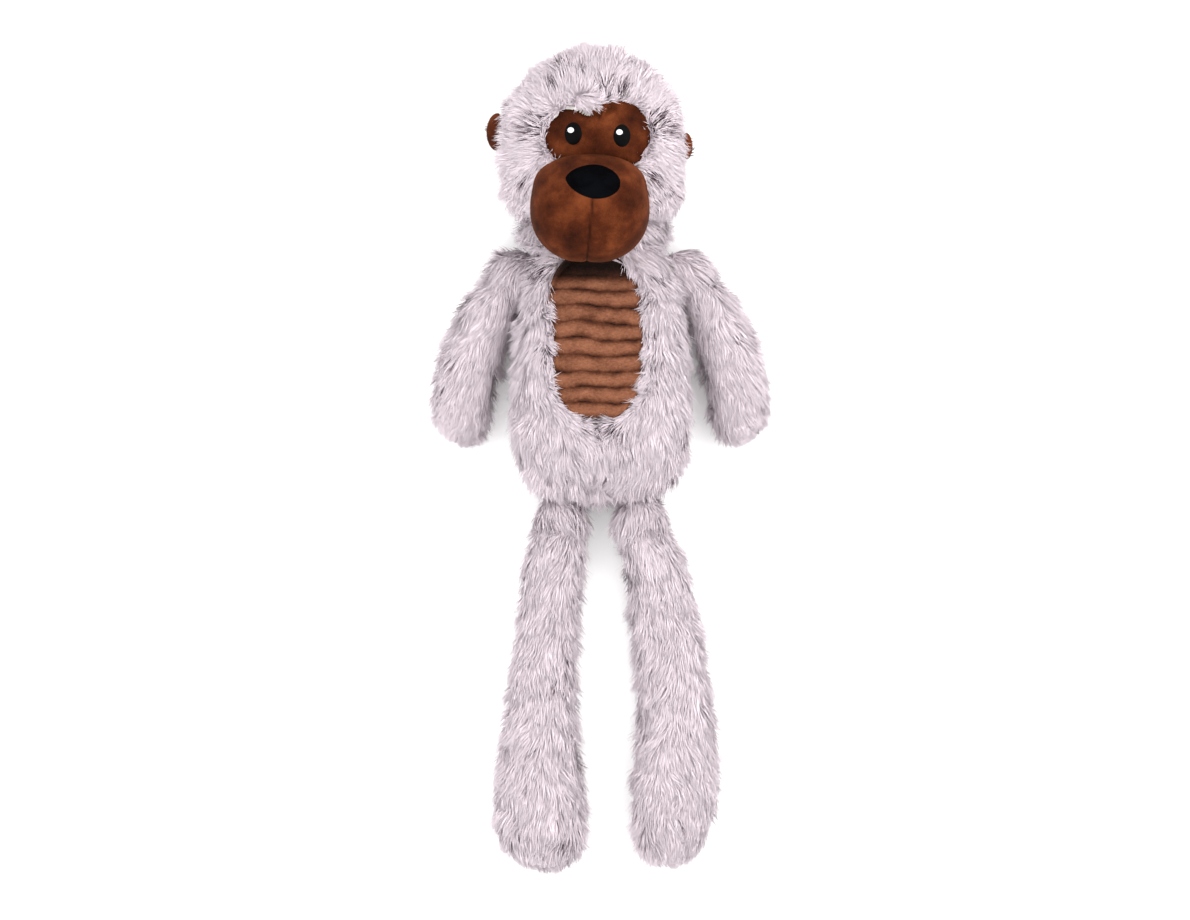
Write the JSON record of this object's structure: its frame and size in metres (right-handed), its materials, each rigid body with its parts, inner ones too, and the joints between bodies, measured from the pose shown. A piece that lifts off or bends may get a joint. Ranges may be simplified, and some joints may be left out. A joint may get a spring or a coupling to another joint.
{
  "type": "stuffed monkey",
  "caption": "Soft stuffed monkey with long floppy limbs, shaggy pale fur, a smooth brown face and a ribbed brown belly, lying on its back.",
  "frame": {"origin": "middle of the torso's back, on the surface that the toy lies on", "axes": "+Z out of the toy's front, up from the surface; +Y towards the top of the head; +X towards the toy's own left hand, which the right-hand nodes are on"},
  "size_m": [0.1969, 0.488, 0.1088],
  "materials": {
    "long_pile": "long pile, pale tips over dark roots",
    "short_pile": "short pile, matt, brushed",
    "ribbed_pile": "wide-ribbed pile",
    "nose_fabric": "dense black embroidery",
    "embroidery_black": "satin stitch",
    "embroidery_white": "satin stitch",
    "backing_fabric": "knitted backing, gathered",
    "fibre_filling": "loose polyester fibre",
    "sewing_thread": "twisted thread",
    "squeaker_bulb": "soft blown plastic",
    "squeaker_reed": "hard moulded plastic"
  },
  "bodies": {
    "torso": {"torso_fur_front": "long_pile", "torso_fur_back_left": "long_pile", "torso_fur_back_right": "long_pile", "belly_panel": "ribbed_pile", "back_seam_stitches": "sewing_thread", "torso_filling": "fibre_filling", "squeaker_bulb": "squeaker_bulb", "squeaker_reed": "squeaker_reed"},
    "neck": {"neck_gusset": "backing_fabric"},
    "head": {"head_fur_left": "long_pile", "head_fur_right": "long_pile", "head_fur_back": "long_pile", "face_patch": "short_pile", "head_filling": "fibre_filling", "muzzle_panel_left": "short_pile", "muzzle_panel_right": "short_pile", "muzzle_filling": "fibre_filling", "nose_patch": "nose_fabric", "eye_left": "embroidery_black", "eye_right": "embroidery_black", "eye_highlight_left": "embroidery_white", "eye_highlight_right": "embroidery_white"},
    "ear_left": {"ear_left_front": "short_pile", "ear_left_back": "long_pile"},
    "shoulder_left": {"shoulder_gusset_left": "backing_fabric"},
    "arm_left": {"arm_left_fur_front": "long_pile", "arm_left_fur_back": "long_pile", "arm_left_filling": "fibre_filling"},
    "hip_left": {"hip_gusset_left": "backing_fabric"},
    "leg_left": {"leg_left_fur_front": "long_pile", "leg_left_fur_back": "long_pile", "leg_left_filling": "fibre_filling"},
    "ear_right": {"ear_right_front": "short_pile", "ear_right_back": "long_pile"},
    "shoulder_right": {"shoulder_gusset_right": "backing_fabric"},
    "arm_right": {"arm_right_fur_front": "long_pile", "arm_right_fur_back": "long_pile", "arm_right_filling": "fibre_filling"},
    "hip_right": {"hip_gusset_right": "backing_fabric"},
    "leg_right": {"leg_right_fur_front": "long_pile", "leg_right_fur_back": "long_pile", "leg_right_filling": "fibre_filling"}
  },
  "joints": [
    {"name": "neck_tilt", "type": "hinge", "parent": "torso", "child": "neck", "pos_m": [-0.003, 0.086, 0.027], "axis": [0, 0, 1], "range_deg": [-14, 14]},
    {"name": "head_nod", "type": "hinge", "parent": "neck", "child": "head", "pos_m": [-0.003, 0.086, 0.027], "axis": [1, 0, 0], "range_deg": [0, 14]},
    {"name": "ear_fold_left", "type": "hinge", "parent": "head", "child": "ear_left", "pos_m": [-0.0603, 0.1445, 0.038], "axis": [0, 1, 0], "range_deg": [-28, 114]},
    {"name": "ear_fold_right", "type": "hinge", "parent": "head", "child": "ear_right", "pos_m": [0.0495, 0.136, 0.038], "axis": [0, -1, 0], "range_deg": [-18, 124]},
    {"name": "shoulder_raise_left", "type": "hinge", "parent": "torso", "child": "shoulder_left", "pos_m": [-0.052, 0.062, 0.014], "axis": [0, 0, -1], "range_deg": [-3, 80]},
    {"name": "arm_lift_left", "type": "hinge", "parent": "shoulder_left", "child": "arm_left", "pos_m": [-0.052, 0.062, 0.014], "axis": [-0.9397, 0.342, 0], "range_deg": [0, 88]},
    {"name": "shoulder_raise_right", "type": "hinge", "parent": "torso", "child": "shoulder_right", "pos_m": [0.052, 0.062, 0.014], "axis": [0, 0, 1], "range_deg": [-3, 80]},
    {"name": "arm_lift_right", "type": "hinge", "parent": "shoulder_right", "child": "arm_right", "pos_m": [0.052, 0.062, 0.014], "axis": [-0.9397, -0.342, 0], "range_deg": [0, 88]},
    {"name": "hip_flex_left", "type": "hinge", "parent": "torso", "child": "hip_left", "pos_m": [-0.024, -0.087, 0.017], "axis": [-1, 0, 0], "range_deg": [0, 95]},
    {"name": "leg_splay_left", "type": "hinge", "parent": "hip_left", "child": "leg_left", "pos_m": [-0.024, -0.087, 0.017], "axis": [0, 0, -1], "range_deg": [-3, 45]},
    {"name": "hip_flex_right", "type": "hinge", "parent": "torso", "child": "hip_right", "pos_m": [0.024, -0.087, 0.017], "axis": [-1, 0, 0], "range_deg": [0, 95]},
    {"name": "leg_splay_right", "type": "hinge", "parent": "hip_right", "child": "leg_right", "pos_m": [0.024, -0.087, 0.017], "axis": [0, 0, 1], "range_deg": [-3, 45]}
  ]
}
